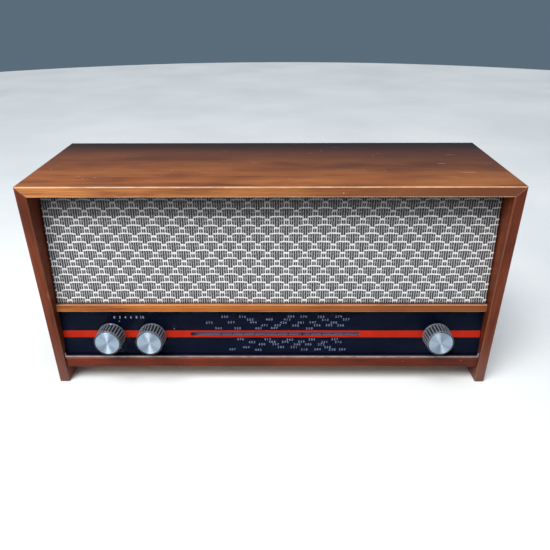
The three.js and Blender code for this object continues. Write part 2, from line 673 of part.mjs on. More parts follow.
function addSpeaker() {
  const wall = [
    [42, 0], [SPEAKER.halfHeight, 0], [SPEAKER.halfHeight, 1.2], [44.5, 1.2], [19, 40],
    [19, 42], [10, 42], [10, 40.8], [17.6, 40.8], [42, 2.4], [42, 0],
  ];
  const openings = [];
  for (const side of [-1, 1]) {
    const reach = [SPEAKER.x + side * 24, SPEAKER.x + side * 68].sort((a, b) => a - b);
    const [near, far] = [SPEAKER_DEPTH + 10, SPEAKER_DEPTH + 33];
    openings.push(box(...reach, near, far, SPEAKER.z + 6, SPEAKER.z + 40));
    openings.push(box(...reach, near, far, SPEAKER.z - 40, SPEAKER.z - 6));
  }
  add(leaning, 'speaker_frame', cut(oval(wall), ...openings), STEEL_GREY);
  const paper = [
    [0, 25], [6, 26.2], [9, 28.6], [41.2, 0.9], [41.2, 1.9], [10, 29.6], [9.4, 34],
    [8.4, 34], [8.4, 29.8], [5.6, 27.4], [0, 26.2],
  ];
  add(leaning, 'speaker_cone', oval(paper), PAPER_CONE);
  const back = SPEAKER_DEPTH + 42 + GAP;
  const magnet = [
    [0, back], [27, back], [27, back + 4], [25, back + 4], [25, back + 16],
    [27, back + 16], [27, back + 20], [0, back + 20],
  ];
  add(leaning, 'speaker_magnet', turned(magnet, SPEAKER.x, SPEAKER.z, 20), LAMINATION);
}

// ---- Back: slotted hardboard on two battens, four screws, cable bush and aerial sockets ----

function addBack() {
  const reach = INNER - GAP;
  const outside = BACK_FRONT + BACK_THICK;
  const through = [BACK_FRONT - 1, outside + 1];
  const openings = [rod(GROMMET.holeR, ...through, GROMMET.x, GROMMET.z)];
  for (const x of [-SCREW_X, SCREW_X]) {
    for (const z of SCREW_HEIGHTS) openings.push(rod(1.9, ...through, x, z, 8));
  }
  const [columns, slotPitch, slotLength, slotHeight] = [10, 40, 30, 5];
  for (const z of [100, 125, 150, 175]) {
    for (let i = 0; i < columns; i += 1) {
      const x = (i - (columns - 1) / 2) * slotPitch - slotLength / 2;
      openings.push(box(x, x + slotLength, ...through, z, z + slotHeight));
    }
  }
  const sheet = box(-reach, reach, BACK_FRONT, outside, RAIL_FOOT + GAP, HEIGHT - BOARD - GAP);
  add(level, 'back_panel', cut(sheet, ...openings), HARDBOARD);

  for (const [name, side] of [['left_back_batten', -1], ['right_back_batten', 1]]) {
    const [near, far] = [BACK_FRONT - GAP - BATTEN, BACK_FRONT - GAP];
    const edges = [side * reach, side * (reach - BATTEN)].sort((a, b) => a - b);
    const pilots = SCREW_HEIGHTS.map((z) => rod(1.8, near + 1, far + 1, side * SCREW_X, z, 8));
    const strip = box(...edges, near, far, FLOOR_TOP + GAP, 210);
    add(level, name, cut(strip, ...pilots), PLY);
  }
  let count = 0;
  for (const x of [-SCREW_X, SCREW_X]) {
    for (const z of SCREW_HEIGHTS) {
      count += 1;
      const screw = [
        [0, BACK_FRONT - 9], [1.4, BACK_FRONT - 7], [1.4, outside + GAP],
        [4, outside + GAP], [3.4, outside + 1.8], [0, outside + 2.4],
      ];
      add(level, `back_screw_${count}`, turned(screw, x, z, 12), BRASS);
    }
  }
  const [x, z, holeR] = [GROMMET.x, GROMMET.z, GROMMET.holeR];
  const bush = [
    [3.5, BACK_FRONT - 2.3], [8, BACK_FRONT - 2.3], [8, BACK_FRONT - GAP],
    [holeR - GAP, BACK_FRONT - GAP], [holeR - GAP, outside + GAP],
    [8, outside + GAP], [7, outside + 3], [3.5, outside + 3],
  ];
  add(level, 'cable_grommet', ring(bush, x, z), RUBBER);
  const strip = rectangle(140, 46, 184, 60);
  for (const socketX of [152, 172]) strip.holes.push(circle(socketX, 53, 2.2));
  add(level, 'aerial_socket_strip', alongY(strip, outside + GAP, outside + 2.3, 6), PCB_BROWN);
}

addCase();
addGrille();
addDial();
addPotentiometer('volume', VOLUME_X);
addPotentiometer('tone', TONE_X);
addTuningSpindle();
addKnob('volume_knob', VOLUME_X);
addKnob('tone_knob', TONE_X);
addKnob('tuning_knob', TUNING_X);
addDrum();
addPulley('left_pulley', LEFT_PULLEY_X);
addPulley('right_pulley', RIGHT_PULLEY_X);
addCord();
addPointer();
addGang();
addChassis();
addMainsSupply();
addCircuitBoard();
addAerial();
addSpeaker();
addBack();

// The origin is on the ground under the middle of the whole object, knobs included.
radio.updateMatrixWorld(true);
const bounds = new THREE.Box3().setFromObject(radio, true);
level.position.y = -(bounds.min.y + bounds.max.y) / 2;

export default radio;
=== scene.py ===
import json
import math
import random

import bmesh
import bpy
from mathutils import Matrix, Vector


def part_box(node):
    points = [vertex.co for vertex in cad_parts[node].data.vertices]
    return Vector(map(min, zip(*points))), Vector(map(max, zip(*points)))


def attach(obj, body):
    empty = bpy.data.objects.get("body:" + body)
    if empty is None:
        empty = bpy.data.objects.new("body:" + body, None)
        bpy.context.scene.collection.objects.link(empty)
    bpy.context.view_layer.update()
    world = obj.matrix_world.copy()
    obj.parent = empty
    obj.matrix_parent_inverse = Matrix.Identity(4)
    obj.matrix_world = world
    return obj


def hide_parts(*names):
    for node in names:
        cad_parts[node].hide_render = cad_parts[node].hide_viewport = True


# A mains table radio: mitred case on its side panels, woven cloth, glass dial and fluted knobs.
# Metres, in the row frame: +X to the right seen from the front, +Y to the back, +Z up.

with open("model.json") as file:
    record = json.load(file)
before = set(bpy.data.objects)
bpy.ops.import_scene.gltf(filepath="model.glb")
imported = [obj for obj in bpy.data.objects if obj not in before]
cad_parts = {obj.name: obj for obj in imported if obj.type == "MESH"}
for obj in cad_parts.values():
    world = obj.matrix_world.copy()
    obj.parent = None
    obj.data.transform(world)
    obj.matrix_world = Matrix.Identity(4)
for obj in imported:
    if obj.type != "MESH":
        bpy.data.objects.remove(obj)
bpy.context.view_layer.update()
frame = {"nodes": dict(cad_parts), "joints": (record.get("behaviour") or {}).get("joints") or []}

MM = 0.001
NODES = frame["nodes"]
JOINTS = {joint["name"]: joint for joint in frame["joints"]}

# ---- The leaning front. Its own axes are x, depth behind the front plane, and height along it ----

BACK_WAY = Vector(JOINTS["volume_turn"]["axis"]).normalized()
UP_WAY = Vector((0, -BACK_WAY.z, BACK_WAY.y))
SHAFT_POINT = Vector(JOINTS["volume_turn"]["pos_m"])
SHAFT_HEIGHT = SHAFT_POINT.z / UP_WAY.z
FRONT_ORIGIN = Vector((0, SHAFT_POINT.y, SHAFT_POINT.z)) - SHAFT_HEIGHT * UP_WAY
LEANING = Matrix.Translation(FRONT_ORIGIN) @ Matrix((
    (1, BACK_WAY.x, UP_WAY.x, 0),
    (0, BACK_WAY.y, UP_WAY.y, 0),
    (0, BACK_WAY.z, UP_WAY.z, 0),
    (0, 0, 0, 1),
))


def leaning_box(node):
    """Lowest and highest corner of a CAD node in the leaning front's own axes."""
    to_front = LEANING.inverted()
    corners = [to_front @ vertex.co for vertex in NODES[node].data.vertices]
    low = Vector([min(corner[k] for corner in corners) for k in range(3)])
    high = Vector([max(corner[k] for corner in corners) for k in range(3)])
    return low, high


# ---- Camera, floor and light ----

# Where the photograph was taken from, solved from the case's own edges, in metres and degrees.
# The lens and the sensor are in millimetres.
CAMERA_PLACE = (0.0075, -0.5456, 0.3898)
CAMERA_PITCH, CAMERA_YAW, CAMERA_ROLL = 28.1996, -0.38096, -0.19764
CAMERA_LENS = 34.603
SENSOR_WIDTH = 36

FLOOR_RADIUS = 3.0


def add_camera():
    """Stands where the photograph was taken from, a little above the set and close to it."""
    pitch, yaw, roll = map(math.radians, (CAMERA_PITCH, CAMERA_YAW, CAMERA_ROLL))
    forward = Vector((math.sin(yaw), math.cos(yaw), 0))
    right = Vector((math.cos(yaw), -math.sin(yaw), 0))
    up = Vector((0, 0, 1))
    view = forward * math.cos(pitch) - up * math.sin(pitch)
    above = forward * math.sin(pitch) + up * math.cos(pitch)
    rolled_right = right * math.cos(roll) + above * math.sin(roll)
    rolled_up = above * math.cos(roll) - right * math.sin(roll)
    data = bpy.data.cameras.new("camera")
    data.lens = CAMERA_LENS
    data.sensor_width = SENSOR_WIDTH
    data.clip_start = 0.01
    camera = bpy.data.objects.new("camera", data)
    bpy.context.scene.collection.objects.link(camera)
    turn = Matrix((rolled_right, rolled_up, -view)).transposed().to_4x4()
    camera.matrix_world = Matrix.Translation(CAMERA_PLACE) @ turn
    bpy.context.scene.camera = camera


def add_area_light(name, place, target, size, power, colour):
    """A rectangular soft light of this many watts, turned to face its target."""
    data = bpy.data.lights.new(name, "AREA")
    data.shape = "RECTANGLE"
    data.size, data.size_y = size
    data.energy = power
    data.color = colour
    light = bpy.data.objects.new(name, data)
    light.location = place
    light.rotation_euler = (Vector(target) - Vector(place)).to_track_quat("-Z", "Y").to_euler()
    bpy.context.scene.collection.objects.link(light)


def add_sun(name, from_way, softness, strength, colour, mirrored=True):
    """Even light over the whole floor, from this way, softened over this many degrees. One that
    isn't mirrored lights surfaces without showing in their gloss."""
    data = bpy.data.lights.new(name, "SUN")
    data.angle = math.radians(softness)
    data.energy = strength
    data.color = colour
    light = bpy.data.objects.new(name, data)
    light.rotation_euler = (-Vector(from_way)).to_track_quat("-Z", "Y").to_euler()
    light.visible_glossy = mirrored
    bpy.context.scene.collection.objects.link(light)


def circle(radius, steps):
    """Points round a circle, as pairs."""
    angles = [2 * math.pi * i / steps for i in range(steps)]
    return [(radius * math.cos(angle), radius * math.sin(angle)) for angle in angles]


def add_studio():
    """A pale floor, soft light from the upper front left and overhead, a low one behind and a
    dim room."""
    rim = [(x, y, 0) for x, y in circle(FLOOR_RADIUS, 96)]
    mesh = bpy.data.meshes.new("floor")
    mesh.from_pydata(rim, [], [list(range(len(rim)))])
    floor = bpy.data.objects.new("floor", mesh)
    bpy.context.scene.collection.objects.link(floor)
    finish = Finish("pale_floor", colour=srgb(232, 236, 238), roughness=0.55)
    cloudy = finish.noise(finish.place(), 3, detail=4)
    finish.colour(finish.ramp(cloudy, (0.35, srgb(226, 230, 233)), (0.65, srgb(238, 241, 242))))
    mesh.materials.append(finish.material)

    add_area_light("overhead", place=(-0.15, -0.4, 1.3), target=(0, 0, 0), size=(1.4, 0.6),
                   power=8, colour=(1.0, 0.99, 0.97))
    add_area_light("key", place=(-0.75, -0.75, 0.9), target=(-0.1, 0, 0.1), size=(0.7, 0.7),
                   power=7, colour=(1.0, 0.97, 0.93))
    add_sun("window", from_way=(-0.35, -0.62, 1.25), softness=34, strength=2.2,
            colour=(1.0, 0.98, 0.95))
    add_sun("fill", from_way=(0.75, 0.8, 0.14), softness=20, strength=1.5,
            colour=(0.94, 0.97, 1.0), mirrored=False)
    world = bpy.data.worlds.new("room")
    world.use_nodes = True
    background = world.node_tree.nodes["Background"]
    background.inputs["Color"].default_value = srgb(120, 142, 160)
    background.inputs["Strength"].default_value = 0.55
    bpy.context.scene.world = world
    bpy.context.scene.view_settings.view_transform = "Standard"


# ---- Materials ----

def srgb(red, green, blue):
    """A colour as a screen shows it, each part from 0 to 255, in Blender's linear numbers."""
    parts = (part / 255 for part in (red, green, blue))
    linear = [p / 12.92 if p < 0.04045 else ((p + 0.055) / 1.055) ** 2.4 for p in parts]
    return (*linear, 1)


class Finish:
    """A Principled material, with short names for the nodes that give it its detail."""

    def __init__(self, name, colour, roughness, metallic=0.0, coat=0.0, coat_roughness=0.1):
        self.material = bpy.data.materials.new(name)
        self.material.use_nodes = True
        self.tree = self.material.node_tree
        self.shader = self.tree.nodes["Principled BSDF"]
        self.set("Base Color", colour)
        self.set("Roughness", roughness)
        self.set("Metallic", metallic)
        self.set("Coat Weight", coat)
        self.set("Coat Roughness", coat_roughness)

    def set(self, socket, value):
        self.shader.inputs[socket].default_value = value

    def node(self, kind, *inputs, **settings):
        """A node of this kind, with each input set to a value or linked from another's output."""
        node = self.tree.nodes.new(kind)
        for name, value in settings.items():
            setattr(node, name, value)
        for socket, value in inputs:
            if isinstance(value, bpy.types.NodeSocket):
                self.tree.links.new(value, node.inputs[socket])
            else:
                node.inputs[socket].default_value = value
        return node

    def place(self, scale=(1, 1, 1), turn=(0, 0, 0)):
        """Where a point is on its object, in metres, scaled along each axis and turned."""
        where = self.node("ShaderNodeTexCoord").outputs["Object"]
        return self.node("ShaderNodeMapping", ("Vector", where), ("Scale", scale),
                         ("Rotation", turn)).outputs[0]

    def axis(self, letter):
        where = self.node("ShaderNodeTexCoord").outputs["Object"]
        return self.node("ShaderNodeSeparateXYZ", ("Vector", where)).outputs[letter]

    def noise(self, where, scale, detail=2.0, roughness=0.5):
        return self.node("ShaderNodeTexNoise", ("Vector", where), ("Scale", scale),
                         ("Detail", detail), ("Roughness", roughness)).outputs[0]

    def cells(self, where, scale, feature="F1"):
        return self.node("ShaderNodeTexVoronoi", ("Vector", where), ("Scale", scale),
                         feature=feature).outputs["Distance"]

    def math(self, operation, *values):
        return self.node("ShaderNodeMath", *enumerate(values), operation=operation).outputs[0]

    def plus(self, first, second):
        return self.math("ADD", first, second)

    def minus(self, first, second):
        return self.math("SUBTRACT", first, second)

    def times(self, first, second):
        return self.math("MULTIPLY", first, second)

    def attribute(self, name):
        return self.node("ShaderNodeAttribute", attribute_name=name).outputs["Fac"]

    def between(self, value, low, high, to_low=0.0, to_high=1.0):
        """to_low up to low, to_high from high on, and a smooth step in between."""
        return self.node("ShaderNodeMapRange", ("Value", value), ("From Min", low),
                         ("From Max", high), ("To Min", to_low), ("To Max", to_high),
                         interpolation_type="SMOOTHSTEP").outputs[0]

    def ramp(self, value, *stops):
        node = self.node("ShaderNodeValToRGB", ("Fac", value))
        elements = node.color_ramp.elements
        while len(elements) < len(stops):
            elements.new(0.5)
        for element, (position, colour) in zip(elements, stops):
            element.position = position
            element.color = colour
        return node.outputs["Color"]

    def mix(self, share, first, second, blend="MIX"):
        return self.node("ShaderNodeMix", (0, share), (6, first), (7, second),
                         data_type="RGBA", blend_type=blend).outputs[2]

    def link(self, socket, output):
        self.tree.links.new(output, self.shader.inputs[socket])

    def colour(self, output):
        self.link("Base Color", output)

    def bump(self, height, distance, strength=1.0):
        """Relief of about this many metres where height goes from 0 to 1."""
        relief = self.node("ShaderNodeBump", ("Height", height), ("Distance", distance),
                           ("Strength", strength))
        self.link("Normal", relief.outputs[0])


# How many features of each kind veneer has to the metre, across its grain
CLOUDS, BANDS, FIBRES, PORES = 34, 30, 520, 1500


def along(grain, share):
    """Scales that draw a texture out along the grain, which runs in x or in z."""
    return (share, 1, 1) if grain == "x" else (1, 1, share)


def wood_grain(finish, grain, pale, mid, dark):
    """Broad clouds, long bands, fine fibres and open pores. Gives the colour, and how much of
    fibre and of pore there is."""
    clouds = finish.noise(finish.place(along(grain, 0.4)), CLOUDS)
    bands = finish.noise(finish.place(along(grain, 0.07)), BANDS, detail=3, roughness=0.55)
    fibres = finish.noise(finish.place(along(grain, 0.03)), FIBRES, detail=3, roughness=0.6)
    pores = finish.noise(finish.place(along(grain, 0.03)), PORES, detail=1)
    streaks = finish.plus(finish.times(bands, 0.62), finish.times(fibres, 0.38))
    tone = finish.plus(streaks, finish.between(clouds, 0.3, 0.7, -0.08, 0.08))
    wood = finish.ramp(tone, (0.3, dark), (0.5, mid), (0.68, pale))
    open_pores = finish.between(pores, 0.62, 0.72)
    wood = finish.mix(finish.times(open_pores, 0.45), wood, dark, "MULTIPLY")
    return wood, fibres, open_pores


def darkened(finish, wood, dark, tone_and_shade_drift):
    """Wood made darker by these shares: to the right, partly as its own tone and partly as painted
    shade of light from the left, and to the back as painted shade. Along the back edge, where the
    second share ends, it is painted darker still and tinted blue, as painted shade and a painted
    reflection."""
    # painted shade: darker to the right, partly the veneer's own tone, and darker to the back
    tone_and_shade_rightwards = finish.between(finish.axis("X"), -0.24, 0.24, 0, tone_and_shade_drift[0])
    painted_shade_backwards = finish.between(finish.axis("Y"), -0.085, 0.075, 0, tone_and_shade_drift[1])
    wood = finish.mix(finish.plus(tone_and_shade_rightwards, painted_shade_backwards), wood, dark)
    # painted shade along the back edge, tinted blue as a painted reflection
    painted_back_shade_and_reflection = finish.between(finish.axis("Y"), 0.038, 0.08, 0, tone_and_shade_drift[1])
    return finish.mix(painted_back_shade_and_reflection, wood, srgb(118, 132, 150), "MULTIPLY")


def knocked(finish, grain, wood, faded_and_highlit, haze):
    """Scratches roughly along the grain, scattered flecks, grey haze down at the floor, and arrises
    made pale as far as the mesh marks them, as wear and, on the front arrises, a painted highlight."""
    scratch_stretch = {"x": (0.25, 2.2, 1), "z": (1, 1, 0.2)}[grain]
    scratches = finish.noise(finish.place(scratch_stretch, (0.2, 0.1, 0.35)), 130, detail=2)
    scratched = finish.between(scratches, 0.735, 0.78)
    flecks = finish.between(finish.cells(finish.place(), 110), 0.04, 0.09, 1, 0)
    chosen = finish.between(finish.noise(finish.place(), 30), 0.52, 0.6)
    marks = finish.math("MAXIMUM", finish.times(scratched, 0.4), finish.times(flecks, chosen))
    wood = finish.mix(finish.times(marks, 0.6), wood, faded_and_highlit)

    low_down = finish.between(finish.axis("Z"), 0.0, 0.07, haze, 0)
    wood = finish.mix(low_down, wood, srgb(136, 116, 112))

    # pale arrises: wear, and on the front arrises a painted highlight along the rounding
    patchy = finish.between(finish.noise(finish.place(), 55, detail=4), 0.36, 0.62, 0.6, 1.0)
    return finish.mix(finish.times(finish.attribute("wear_and_highlight"), patchy), wood, faded_and_highlit)


def veneer(name, grain, pale, mid, dark, faded_and_highlit, tone_and_shade_drift=(0, 0), gloss=1.0, haze=0.0):
    """Lacquered veneer, darker by a pair of shares from left to right, partly its own tone and
    partly painted shade, and from front to back as painted shade, painted darkest along the back
    edge, and haze how grey it is scuffed at the floor."""
    finish = Finish(name, mid, 0.36, coat=0.14 * gloss, coat_roughness=0.16)
    finish.set("Specular IOR Level", 0.2 * gloss)
    wood, fibres, open_pores = wood_grain(finish, grain, pale, mid, dark)
    wood = darkened(finish, wood, dark, tone_and_shade_drift)
    finish.colour(knocked(finish, grain, wood, faded_and_highlit, haze))
    finish.link("Roughness", finish.between(fibres, 0.3, 0.7, 0.30, 0.46))
    finish.bump(finish.minus(finish.times(fibres, 0.5), open_pores), 0.00004, 0.6)
    return finish.material


def speckled(name, colour, second, scale, roughness, relief=0.0, metallic=0.0, stretch=(1, 1, 1)):
    """A plain material with a fine two-tone grain, uneven gloss and, if asked for, relief."""
    finish = Finish(name, colour, roughness, metallic)
    grain = finish.noise(finish.place(stretch), scale, detail=4, roughness=0.6)
    patches = finish.noise(finish.place(), scale / 12, detail=2)
    both = finish.plus(finish.times(grain, 0.6), finish.times(patches, 0.4))
    finish.colour(finish.ramp(both, (0.38, second), (0.6, colour)))
    finish.link("Roughness", finish.between(both, 0.35, 0.65, roughness * 0.85, roughness * 1.2))
    if relief:
        finish.bump(grain, relief)
    return finish.material


def channel_plastic(name):
    """Greyed moulding, with painted shade on whatever faces up."""
    finish = Finish(name, srgb(152, 134, 137), 0.42)
    grain = finish.noise(finish.place(), 160, detail=4, roughness=0.6)
    plastic = finish.ramp(grain, (0.38, srgb(122, 104, 108)), (0.6, srgb(158, 139, 141)))
    facing = finish.node("ShaderNodeNewGeometry").outputs["Normal"]
    upper_face_shade = finish.node("ShaderNodeSeparateXYZ", ("Vector", facing)).outputs["Z"]
    # painted shade: faces that look up are painted dark
    finish.colour(finish.mix(finish.between(upper_face_shade, 0.4, 0.9), plastic, srgb(46, 42, 50)))
    finish.bump(grain, 0.00002)
    return finish.material


PLY_PAIR = 0.003  # the height of a pale layer and a dark one
WIRE_RADIUS = 0.0006
LATHE_PITCH = 0.00035


def plywood(name):
    """Birch ply: pale wood in thin layers one above the other, each second one darker."""
    finish = Finish(name, srgb(190, 150, 104), 0.7)
    grain = finish.noise(finish.place((0.06, 1, 1)), 300, detail=3)
    layers = finish.math("FRACT", finish.times(finish.axis("Z"), 1 / PLY_PAIR))
    dark_layer = finish.times(finish.between(layers, 0.45, 0.55), 0.3)
    wood = finish.ramp(grain, (0.35, srgb(158, 118, 78)), (0.65, srgb(204, 168, 122)))
    finish.colour(finish.mix(dark_layer, wood, srgb(128, 88, 54)))
    finish.bump(grain, 0.0001)
    return finish.material


def winding(name, across):
    """Varnished copper wire, wound side by side along this axis."""
    finish = Finish(name, srgb(176, 110, 50), 0.35, coat=0.4)
    turns = finish.math("PINGPONG", finish.times(finish.axis(across), 1 / WIRE_RADIUS), 1)
    patches = finish.noise(finish.place(), 90, detail=2)
    copper = finish.ramp(patches, (0.35, srgb(140, 80, 36)), (0.65, srgb(196, 128, 62)))
    between_turns = finish.between(turns, 0.0, 0.5, 0.7, 0.0)
    finish.colour(finish.mix(between_turns, copper, srgb(70, 36, 16)))
    finish.bump(turns, 0.0002)
    return finish.material


def printed(name, ink):
    """Opaque ink on the back of the glass, very slightly uneven. It carries the glass's own faint
    mirror image as a coat, because few rays that meet clear glass are mirrored, and those few
    would show as specks on black ink."""
    finish = Finish(name, ink, 0.6, coat=1.0, coat_roughness=0.02)
    finish.set("Specular IOR Level", 0.03)
    finish.set("Coat IOR", 1.13)
    cloudy = finish.noise(finish.place(), 45, detail=3)
    darker = (*(part * 0.82 for part in ink[:3]), 1)
    finish.colour(finish.ramp(cloudy, (0.35, darker), (0.65, ink)))
    return finish.material


def fluted_plastic(name):
    """Black moulding, painted grey on its ridges, partly as wear and partly as a painted highlight,
    and dark down in its grooves and round the cap."""
    finish = Finish(name, srgb(60, 62, 66), 0.3)
    dust = finish.noise(finish.place(), 700, detail=3)
    # painted highlight and wear: the ridges are painted grey
    ridge = finish.ramp(dust, (0.35, srgb(84, 90, 100)), (0.65, srgb(128, 134, 144)))
    in_groove = finish.between(finish.attribute("sunk"), 0.2, 0.8)
    finish.colour(finish.mix(in_groove, ridge, srgb(12, 14, 20)))
    finish.link("Roughness", finish.between(dust, 0.3, 0.7, 0.26, 0.42))
    finish.bump(dust, 0.00001)
    return finish.material


def spun_metal(name):
    """Aluminium faced on a lathe. The piece's own Z axis is the one that it was turned about."""
    finish = Finish(name, srgb(150, 162, 178), 0.46, metallic=1.0)
    finish.set("Anisotropic", 0.97)
    finish.set("Anisotropic Rotation", 0.25)
    around = finish.node("ShaderNodeTangent", direction_type="RADIAL", axis="Z").outputs[0]
    finish.link("Tangent", around)
    squares = [finish.math("POWER", finish.axis(letter), 2) for letter in "XY"]
    radius = finish.math("SQRT", finish.plus(*squares))
    rings = finish.math("SINE", finish.times(radius, 2 * math.pi / LATHE_PITCH))
    wear = finish.noise(finish.place(), 420, detail=4)
    finish.colour(finish.ramp(wear, (0.3, srgb(160, 178, 197)), (0.6, srgb(180, 196, 213))))
    finish.link("Roughness", finish.between(wear, 0.35, 0.7, 0.42, 0.5))
    finish.bump(rings, 0.000002)
    return finish.material


def clear_glass(name, tint, bending):
    """Smooth glass that bends light by this index, and lets light on its way from a lamp or to a
    lit surface straight through, so that what is behind it is lit."""
    finish = Finish(name, tint, 0.0)
    finish.set("Transmission Weight", 1.0)
    finish.set("IOR", bending)
    tree = finish.tree
    clear = tree.nodes.new("ShaderNodeBsdfTransparent")
    clear.inputs["Color"].default_value = tint
    ray = tree.nodes.new("ShaderNodeLightPath")
    from_lamp = finish.math("MAXIMUM", ray.outputs["Is Shadow Ray"], ray.outputs["Is Diffuse Ray"])
    mixed = tree.nodes.new("ShaderNodeMixShader")
    tree.links.new(from_lamp, mixed.inputs[0])
    tree.links.new(finish.shader.outputs[0], mixed.inputs[1])
    tree.links.new(clear.outputs[0], mixed.inputs[2])
    tree.links.new(mixed.outputs[0], tree.nodes["Material Output"].inputs["Surface"])
    return finish.material


# The weave, in millimetres. A motif is eight dark bars wide, and every other row is shifted by half
# a motif. Six bars are long. The middle two of them, the tail, run on into the row below, where
# they end between two motifs. Under that, between white legs, is an arch of two short bars. A
# paler waist crosses all but the tail. WEAVE_START is how far to the right the middle of one motif
# is, and how far down one row starts.
BAR_PITCH = 2.4
MOTIF_WIDTH = 8 * BAR_PITCH
LEG_OUT = 3 * BAR_PITCH
ROW_HEIGHT = 8.85
WEAVE_START = (6.4, 2.3)
BODY_FOOT = 7.95
TAIL_DROP = 2.3
BODY_ROUNDING = 0.014
WAIST_DOWN = 3.5
MM_PER_METRE = 1000


def weave_place(finish):
    """Where a point is in the slightly uneven weave, in millimetres: across, with every other row
    shifted by half a motif, how far out from the middle of its motif, and down in its row."""
    wobble = finish.minus(finish.noise(finish.place(), 160, detail=2), 0.5)
    slow = finish.minus(finish.noise(finish.place(), 14, detail=1), 0.5)
    start_x, start_down = WEAVE_START
    across = finish.plus(
        finish.math("MULTIPLY_ADD", finish.axis("X"), MM_PER_METRE, -start_x),
        finish.plus(finish.times(wobble, 1.2), finish.times(slow, 1.6)))
    down = finish.plus(
        finish.math("MULTIPLY_ADD", finish.axis("Z"), -MM_PER_METRE, -start_down),
        finish.plus(finish.times(wobble, 1.1), finish.times(slow, 2.0)))
    row = finish.math("FLOOR", finish.math("DIVIDE", down, ROW_HEIGHT))
    in_row = finish.minus(down, finish.times(row, ROW_HEIGHT))
    odd = finish.math("FLOORED_MODULO", row, 2)
    shifted = finish.plus(across, finish.times(odd, MOTIF_WIDTH / 2))
    off_centre = finish.math("WRAP", shifted, MOTIF_WIDTH / 2, -MOTIF_WIDTH / 2)
    return shifted, finish.math("ABSOLUTE", off_centre), in_row


def weave_shape(finish):
    """How far dark bars may show at a point, and how dark it is there."""
    shifted, column, in_row = weave_place(finish)
    off_bar = finish.math("PINGPONG", finish.plus(shifted, BAR_PITCH / 2), BAR_PITCH / 2)
    bars = finish.between(off_bar, 0.58, 0.98, 1, 0)
    in_tail = finish.math("LESS_THAN", column, BAR_PITCH)
    in_body = finish.math("LESS_THAN", column, LEG_OUT)

    rounding = finish.times(finish.math("POWER", column, 2), BODY_ROUNDING)
    foot = finish.plus(BODY_FOOT, finish.times(in_tail, TAIL_DROP))
    above_foot = finish.minus(finish.minus(foot, rounding), in_row)
    below_head = finish.minus(in_row, rounding)
    body = finish.times(finish.between(above_foot, -0.3, 0.3),
                        finish.between(below_head, -0.4, 0.3))

    tail_end = finish.between(in_row, 1.1, 1.8, 1, 0)
    arch = finish.times(finish.between(in_row, 2.9, 3.6), finish.between(in_row, 7.0, 7.7, 1, 0))
    gap = finish.math("MAXIMUM", tail_end, arch)
    lengths = finish.plus(finish.times(in_body, body), finish.times(finish.minus(1, in_body), gap))

    off_leg = finish.math("ABSOLUTE", finish.minus(column, LEG_OUT))
    legs = finish.times(finish.between(off_leg, 0.2, 0.85, 1, 0), finish.between(in_row, 0.4, 1.2))
    off_middle = finish.math("ABSOLUTE", finish.minus(in_row, WAIST_DOWN))
    waist = finish.times(finish.between(off_middle, 0.3, 1.0, 1, 0),
                         finish.times(finish.minus(1, in_tail), 0.4))
    shown = finish.times(lengths, finish.minus(1, legs))
    return shown, finish.times(finish.times(bars, shown), finish.minus(1, waist))


def woven_cloth(name):
    """White yarn with dark bars floating over it in rows, each held down by a white weft line, and
    the top board's shadow painted along the top, in two steps."""
    finish = Finish(name, srgb(200, 198, 196), 0.85)
    shown, dark = weave_shape(finish)
    twist = finish.noise(finish.place((1, 1, 1), (0, 0.7, 0)), 1400, detail=2)
    white = finish.ramp(twist, (0.3, srgb(178, 177, 180)), (0.62, srgb(248, 248, 250)))
    white = finish.mix(finish.times(shown, 0.45), white, srgb(92, 88, 88))
    black = finish.ramp(twist, (0.3, srgb(22, 20, 22)), (0.7, srgb(64, 60, 60)))
    weave = finish.mix(dark, white, black)

    top = leaning_box("grille_cloth")[1].z
    # painted shadow of the top board across the top of the cloth
    board_shadow_band = finish.between(finish.axis("Z"), top - 27 * MM, top - 24 * MM, 0, 0.42)
    deeper_board_shadow = finish.between(finish.axis("Z"), top - 17 * MM, top - 10 * MM, 0, 0.32)
    painted_board_shadow = finish.plus(board_shadow_band, deeper_board_shadow)
    finish.colour(finish.mix(painted_board_shadow, weave, srgb(66, 66, 64), "MULTIPLY"))
    height = finish.plus(finish.times(finish.minus(1, dark), 0.8), finish.times(twist, 0.4))
    finish.bump(height, 0.0005)
    return finish.material


